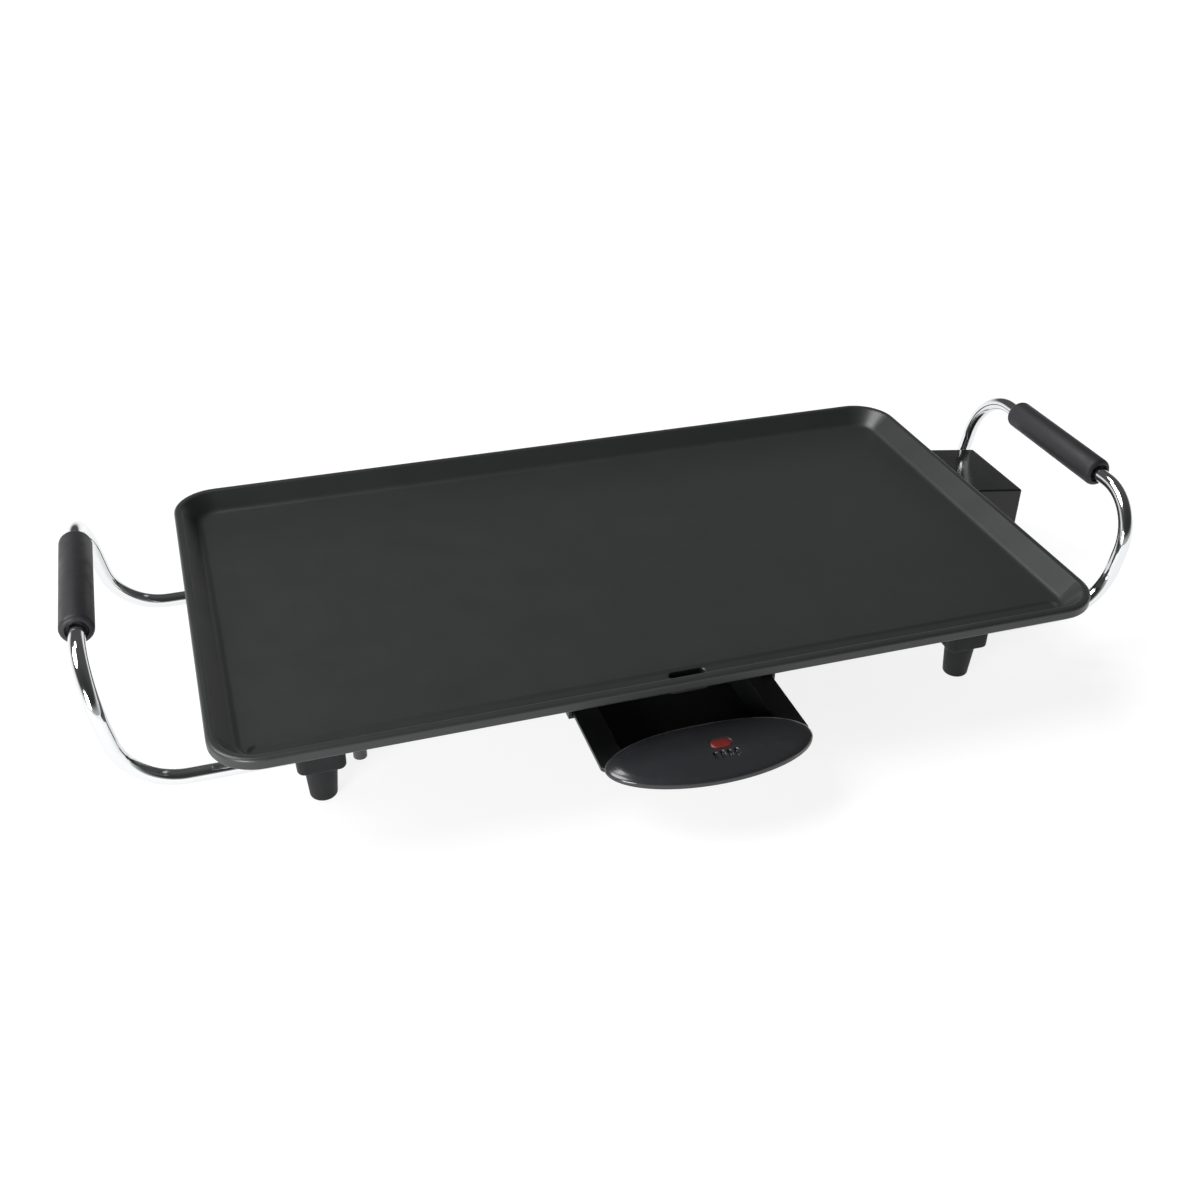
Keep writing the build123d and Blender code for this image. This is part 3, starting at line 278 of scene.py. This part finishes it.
def metal_material(name, colour, roughness, line=None):
    """Plain worked metal, with rolling lines along one axis if line says which."""
    s = Shader(name, colour, roughness, metallic=1.0)
    stretch = (1, 1, 1) if line is None else tuple(0.05 if a == line else 1 for a in "xyz")
    grain = s.noise(0.0008, detail=3.0, stretch=stretch)
    s.vary_roughness(s.span(grain, 0.3, 0.7, roughness * 0.8, roughness * 1.3))
    stain = s.noise(0.01, detail=3.0)
    s.mix_colour(s.span(stain, 0.4, 0.7, 0.0, 0.3), tuple(c * 0.75 for c in colour))
    s.bump(grain, depth=0.00003, strength=0.3)
    return s.material


def dress(node, material):
    """Gives a CAD node that stays its procedural material."""
    piece = frame["nodes"][node]
    piece.data.materials.clear()
    piece.data.materials.append(material)


# ---------------------------------------------------------------- mesh helpers
def mesh_piece(name, points, faces, material, body, node):
    """A smooth-shaded piece that stands for a CAD node and rides with its body."""
    mesh = bpy.data.meshes.new(name)
    mesh.from_pydata(points, [], faces)
    mesh.validate()
    made = bmesh.new()
    made.from_mesh(mesh)
    bmesh.ops.recalc_face_normals(made, faces=made.faces)
    made.to_mesh(mesh)
    made.free()
    mesh.shade_smooth()
    mesh.set_sharp_from_angle(angle=SHARP_ANGLE)
    mesh.materials.append(material)
    piece = bpy.data.objects.new(name, mesh)
    bpy.context.scene.collection.objects.link(piece)
    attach(piece, body)
    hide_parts(node)
    return piece


def skin(rings, loop=False):
    """Points and faces of a surface through rings of equal length: looped, or filled at both ends."""
    size = len(rings[0])
    points = [point for ring in rings for point in ring]
    faces = []
    for k in range(len(rings) if loop else len(rings) - 1):
        a, b = k * size, (k + 1) % len(rings) * size
        for i in range(size):
            j = (i + 1) % size
            faces.append((a + i, a + j, b + j, b + i))
    if not loop:
        faces.append(tuple(range(size)))
        faces.append(tuple(range(len(points) - size, len(points))))
    return points, faces


# ---------------------------------------------------------------- handles
def rounded_path(corners, bends, arc_steps=20):
    """Points along straight runs joined by tangent arcs, one bend radius for each inner corner."""
    path = [corners[0]]
    for before, corner, after, bend in zip(corners, corners[1:], corners[2:], bends):
        back = (before - corner).normalized()
        ahead = (after - corner).normalized()
        half = back.angle(ahead) / 2
        centre = corner + (back + ahead).normalized() * bend / math.sin(half)
        start = corner + back * bend / math.tan(half) - centre
        stop = corner + ahead * bend / math.tan(half) - centre
        path += [centre + start.slerp(stop, k / arc_steps) * bend for k in range(arc_steps + 1)]
    path.append(corners[-1])
    return path


def split_run(start, stop, step):
    """Evenly spaced points from start up to, but not including, stop."""
    count = max(1, round((stop - start).length / step))
    return [start.lerp(stop, k / count) for k in range(count)]


def tube_rings(path, radius_at, sides=40):
    """Rings square to a path, turned as little as possible from one to the next."""
    lengths = [0.0]
    for a, b in zip(path, path[1:]):
        lengths.append(lengths[-1] + (b - a).length)
    rings = []
    across = Vector((0, 0, 1))
    for k, point in enumerate(path):
        along = (path[min(k + 1, len(path) - 1)] - path[max(k - 1, 0)]).normalized()
        across = (across - along * across.dot(along)).normalized()
        other = along.cross(across)
        radius = radius_at(lengths[k], lengths[-1])
        angles = [math.tau * i / sides for i in range(sides)]
        rings.append([point + (across * math.cos(a) + other * math.sin(a)) * radius for a in angles])
    return rings


def rod_radius(distance, total):
    """The rod's radius along its length: chamfered at both ends."""
    from_end = min(distance, total - distance)
    return ROD_RADIUS - max(0, ROD_END_CHAMFER - from_end)


def build_rod(side, side_name, material):
    """The bent rod of one handle, whose ends sit in the foot blocks."""
    low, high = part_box(f"handle_rod_{side_name}")
    inner_x = min(abs(low.x), abs(high.x))
    grip_x = max(abs(low.x), abs(high.x)) - ROD_RADIUS
    knee_x = grip_x - ROD_KNEE_INSET
    low_z, high_z = low.z + ROD_RADIUS, high.z - ROD_RADIUS
    front_y, back_y = low.y + ROD_RADIUS, high.y - ROD_RADIUS
    corners = [
        Vector((side * inner_x, front_y, low_z)),
        Vector((side * knee_x, front_y, low_z)),
        Vector((side * grip_x, front_y, high_z)),
        Vector((side * grip_x, back_y, high_z)),
        Vector((side * knee_x, back_y, low_z)),
        Vector((side * inner_x, back_y, low_z)),
    ]
    path = rounded_path(corners, [ROD_KNEE_BEND, ROD_GRIP_BEND, ROD_GRIP_BEND, ROD_KNEE_BEND])
    chamfer = Vector((side * ROD_END_CHAMFER, 0, 0))
    front_run = [path[0]] + split_run(path[0] + chamfer, path[1], ROD_STEP)
    back_run = split_run(path[-2], path[-1] + chamfer, ROD_STEP) + [path[-1] + chamfer, path[-1]]
    points, faces = skin(tube_rings(front_run + path[1:-2] + back_run, rod_radius))
    node = f"handle_rod_{side_name}"
    mesh_piece(f"rod_{side_name}", points, faces, material, "griddle", node)


def quarter(centre_y, centre_r, radius, steps=6):
    """A quarter turn of a lathe profile, from facing along the axis to facing outward."""
    angles = [k / steps * math.pi / 2 for k in range(steps + 1)]
    return [(centre_y + radius * math.cos(a), centre_r + radius * math.sin(a)) for a in angles]


def build_grip(side_name, material, sides=72):
    """One moulded grip: rounded ends recessed round the rod, and a mould seam along both sides."""
    low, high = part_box(f"grip_{side_name}")
    middle = (low + high) / 2
    half = (high.y - low.y) / 2
    radius = (high.z - low.z) / 2
    end = [
        (half - GRIP_RECESS_DEPTH, GRIP_BORE_RADIUS),
        (half - GRIP_RECESS_DEPTH, GRIP_RECESS_RADIUS - GRIP_LIP),
        (half - GRIP_LIP, GRIP_RECESS_RADIUS),
        (half, GRIP_RECESS_RADIUS + GRIP_LIP),
    ]
    end += quarter(half - GRIP_END_ROUND, radius - GRIP_SEAM_HEIGHT - GRIP_END_ROUND, GRIP_END_ROUND)
    profile = end + [(-y, r) for y, r in reversed(end)]
    rings = []
    for y, r in profile:
        ring = []
        for i in range(sides):
            angle = math.tau * i / sides
            on_seam = i % (sides // 2) == 0 and r > GRIP_RECESS_RADIUS + GRIP_LIP
            seam = GRIP_SEAM_HEIGHT if on_seam else 0
            reach = r + seam
            ring.append(middle + Vector((math.cos(angle) * reach, y, math.sin(angle) * reach)))
        rings.append(ring)
    points, faces = skin(rings, loop=True)
    node = f"grip_{side_name}"
    mesh_piece(f"{node}_moulding", points, faces, material, "griddle", node)


# ---------------------------------------------------------------- tray handle
def smooth_step(value, low, high):
    """Rises smoothly from 0 at low to 1 at high."""
    t = min(1, max(0, (value - low) / (high - low)))
    return t * t * (3 - 2 * t)


def stadium_distance(x, y, length, width):
    """Signed distance to a stadium that lies along X."""
    straight = (length - width) / 2
    return math.hypot(max(abs(x) - straight, 0), y) - width / 2


def uneven_lines(coarse, fine, dense_from, dense_to):
    """Values from -1 to 1, closely spaced from dense_from to dense_to."""
    lines = []
    value = -1.0
    while value < 1 - fine / 2:
        lines.append(value)
        value += fine if dense_from < value < dense_to else coarse
    lines.append(1.0)
    return lines


def build_pad(material):
    """The tray's handle: a thin domed pad with rolled edges, grip grooves and a pocket for its badge."""
    low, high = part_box("tray_handle")
    badge_low, badge_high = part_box("tray_badge")
    badge = (badge_low + badge_high) / 2
    half = (high.x - low.x) / 2
    tip_y = low.y + PAD_FRONT_DEPTH
    back_depth = high.y - tip_y
    crown_y = low.y + PAD_CROWN_BACK
    groove_xs = [badge.x + (k - (GROOVES - 1) / 2) * GROOVE_PITCH for k in range(GROOVES)]

    def place(u, v):
        """A point of the outline's inside from the square -1..1, and how far out it is, from 0 to 1."""
        x = u * math.sqrt(1 - v * v / 2)
        y = v * math.sqrt(1 - u * u / 2)
        return x * half, tip_y + y * (back_depth if y > 0 else PAD_FRONT_DEPTH), math.hypot(x, y)

    def top(x, y, out):
        """The height of the pad's top, lower than its highest point by everything that falls away."""
        fall = PAD_FALL_ENDS * (x / half) ** 2 + PAD_DROOP_ENDS * abs(x / half) ** 5
        if y < crown_y:
            fall += PAD_FALL_FRONT * ((crown_y - y) / PAD_CROWN_BACK) ** 2
        else:
            fall += PAD_FALL_BACK * ((y - crown_y) / (high.y - crown_y)) ** 2
        tip = (x / half) ** 4
        # The distance left to the outline, outward from the middle; 0.01 avoids dividing by zero.
        inward = math.hypot(x, y - tip_y) * (1 / max(out, 0.01) - 1)
        roll = PAD_ROLL_WIDTH + PAD_TIP_ROLL_WIDTH * tip
        if inward < roll:
            share = 1 - inward / roll
            drop = PAD_ROLL_DROP + PAD_TIP_ROLL_DROP * tip
            fall += drop * (1 - math.sqrt(max(0, 1 - share * share)))
        for groove_x in groove_xs:
            gap = stadium_distance(y - badge.y + GROOVE_FORWARD, x - groove_x, GROOVE_LENGTH, GROOVE_WIDTH)
            fall += GROOVE_DEPTH * smooth_step(-gap, -GROOVE_WALL_OUT, GROOVE_WALL_IN)
        pocket = stadium_distance(
            x - badge.x, y - badge.y, badge_high.x - badge_low.x, badge_high.y - badge_low.y
        )
        fall += BADGE_GAP * smooth_step(-pocket, -BADGE_GAP, -BADGE_POCKET_LIP)
        return high.z - fall

    def underside(y):
        """The height of the pad's flat underside, which steps up over the tray's flange."""
        return low.z + (PAD_STEP if y > low.y + PAD_FLANGE_FRONT else 0)

    us = uneven_lines(*PAD_LINES_X)
    vs = uneven_lines(*PAD_LINES_Y)
    rows, columns = len(vs), len(us)
    points = []
    for height in (top, lambda x, y, out: underside(y)):
        for v in vs:
            for u in us:
                x, y, out = place(u, v)
                points.append(Vector((x, y, height(x, y, out))))
    faces = []
    for layer in (0, rows * columns):
        for r in range(rows - 1):
            for c in range(columns - 1):
                a = layer + r * columns + c
                faces.append((a, a + 1, a + columns + 1, a + columns))
    edge = list(range(columns))
    edge += [r * columns + columns - 1 for r in range(1, rows)]
    edge += [(rows - 1) * columns + c for c in reversed(range(columns - 1))]
    edge += [r * columns for r in reversed(range(1, rows - 1))]
    for a, b in zip(edge, edge[1:] + edge[:1]):
        faces.append((a, b, b + rows * columns, a + rows * columns))
    mesh_piece("tray_pad", points, faces, material, "tray", "tray_handle")


def build_badge(material, steps=16):
    """The plain red inlay: a stadium with a rounded edge and a slightly domed face."""
    low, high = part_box("tray_badge")
    middle = (low + high) / 2
    radius = (high.y - low.y) / 2
    straight = (high.x - low.x) / 2 - radius
    profile = [(1.0, low.z), (1.0, high.z - BADGE_EDGE)]
    for turn in BADGE_EDGE_TURNS:
        share = 1 - BADGE_EDGE / radius * (1 - math.cos(turn))
        profile.append((share, high.z - BADGE_EDGE * (1 - math.sin(turn))))
    for k in reversed(range(1, BADGE_DOME_RINGS)):
        share = k / BADGE_DOME_RINGS
        profile.append((share, high.z + BADGE_DOME * (1 - share ** 2)))
    rings = []
    for share, z in profile:
        ring = []
        for end in (1, -1):
            for k in range(steps + 1):
                angle = (k / steps - 0.5) * math.pi + (0 if end == 1 else math.pi)
                x = end * straight * share + radius * share * math.cos(angle)
                ring.append(Vector((middle.x + x, middle.y + radius * share * math.sin(angle), z)))
        rings.append(ring)
    points, faces = skin(rings)
    mesh_piece("badge_inlay", points, faces, material, "tray", "tray_badge")


# ---------------------------------------------------------------- stage
def build_stage():
    """A plain glowing floor that reads as a white background."""
    floor_mesh = bpy.data.meshes.new("floor")
    made = bmesh.new()
    bmesh.ops.create_grid(made, x_segments=1, y_segments=1, size=FLOOR_HALF)
    made.to_mesh(floor_mesh)
    made.free()
    floor = bpy.data.objects.new("floor", floor_mesh)
    floor.location.z = -FLOOR_GAP
    bpy.context.scene.collection.objects.link(floor)
    paper = Shader("floor_paper", FLOOR_PAPER, roughness=0.9, specular=0.1)
    paper.bsdf.inputs["Emission Color"].default_value = (1, 1, 1, 1)
    paper.bsdf.inputs["Emission Strength"].default_value = FLOOR_GLOW
    floor_mesh.materials.append(paper.material)


def aim_lamp(name, light, place, aim=(0, 0, 0)):
    """Puts a lamp at place, turned towards aim."""
    lamp = bpy.data.objects.new(name, light)
    lamp.location = place
    lamp.rotation_euler = (Vector(aim) - Vector(place)).to_track_quat("-Z", "Y").to_euler()
    bpy.context.scene.collection.objects.link(lamp)


def sun(name, place, spread, strength):
    """A large soft source far away, spread degrees across."""
    light = bpy.data.lights.new(name, "SUN")
    light.angle = math.radians(spread)
    light.energy = strength
    aim_lamp(name, light, place)


def panel(name, place, aim, size, power):
    """A square panel, size metres wide."""
    light = bpy.data.lights.new(name, "AREA")
    light.shape = "SQUARE"
    light.size = size
    light.energy = power
    aim_lamp(name, light, place, aim)


def build_world():
    """A pale horizon, dimmer in front, under a dark ceiling, so that metal shows light and dark bands."""
    world = bpy.data.worlds.new("studio")
    bpy.context.scene.world = world
    world.use_nodes = True
    nodes, links = world.node_tree.nodes, world.node_tree.links
    direction = nodes.new("ShaderNodeTexCoord")
    split = nodes.new("ShaderNodeSeparateXYZ")
    product = nodes.new("ShaderNodeMath")
    product.operation = "MULTIPLY"
    links.new(direction.outputs["Generated"], split.inputs["Vector"])
    for slot, axis, numbers in ((0, "Z", SKY_FALL), (1, "Y", SKY_FRONT)):
        fall = nodes.new("ShaderNodeMapRange")
        fall.interpolation_type = "SMOOTHSTEP"
        for key, number in zip(("From Min", "From Max", "To Min", "To Max"), numbers):
            fall.inputs[key].default_value = number
        links.new(split.outputs[axis], fall.inputs["Value"])
        links.new(fall.outputs["Result"], product.inputs[slot])
    links.new(product.outputs["Value"], nodes["Background"].inputs["Color"])


def build_lights():
    """The sky, two soft suns from the left and a low panel aimed at the left front foot."""
    build_world()
    sun("key_left", place=(-0.62, 0.2, 0.75), spread=36, strength=3.0)
    sun("back_left", place=(-0.22, 0.5, 0.83), spread=14, strength=0.5)
    panel("low_left", place=(-0.52, -0.46, 0.20), aim=(-0.18, -0.1, 0.03), size=0.22, power=3.2)


def build_camera():
    """The photo's camera, turned by azimuth, elevation and roll."""
    camera = bpy.data.cameras.new("camera")
    camera.lens = CAMERA_LENS
    camera.sensor_width = CAMERA_SENSOR
    eye = bpy.data.objects.new("camera", camera)
    sa, ca = math.sin(CAMERA_AZIMUTH), math.cos(CAMERA_AZIMUTH)
    se, ce = math.sin(CAMERA_ELEVATION), math.cos(CAMERA_ELEVATION)
    back = Vector((sa * ce, -ca * ce, se))
    right = Vector((0, 0, 1)).cross(back).normalized()
    up = back.cross(right)
    sr, cr = math.sin(CAMERA_ROLL), math.cos(CAMERA_ROLL)
    rolled_right = cr * right + sr * up
    rolled_up = cr * up - sr * right
    axes = Matrix((rolled_right, rolled_up, back)).transposed().to_4x4()
    eye.matrix_world = Matrix.Translation(PLATE_MIDDLE + CAMERA_OFFSET) @ axes
    bpy.context.scene.collection.objects.link(eye)
    bpy.context.scene.camera = eye


bpy.context.scene.view_settings.view_transform = "Standard"
build_stage()
build_lights()
build_camera()

finishes = {"nonstick_coating": coating_material(), "chrome_rod": chrome_material()}
finishes.update({name: moulded_material(name, **look) for name, look in MOULDED.items()})
finishes.update({name: metal_material(name, **look) for name, look in METALS.items()})
for part in frame["record"]["subparts"]:
    dress(part["node"], finishes[part["material_slot"]])

for side, side_name in ((-1, "left"), (1, "right")):
    build_rod(side, side_name, finishes["chrome_rod"])
    build_grip(side_name, finishes["grip_plastic"])
build_pad(finishes["tray_handle_gloss"])
build_badge(finishes["badge_red"])
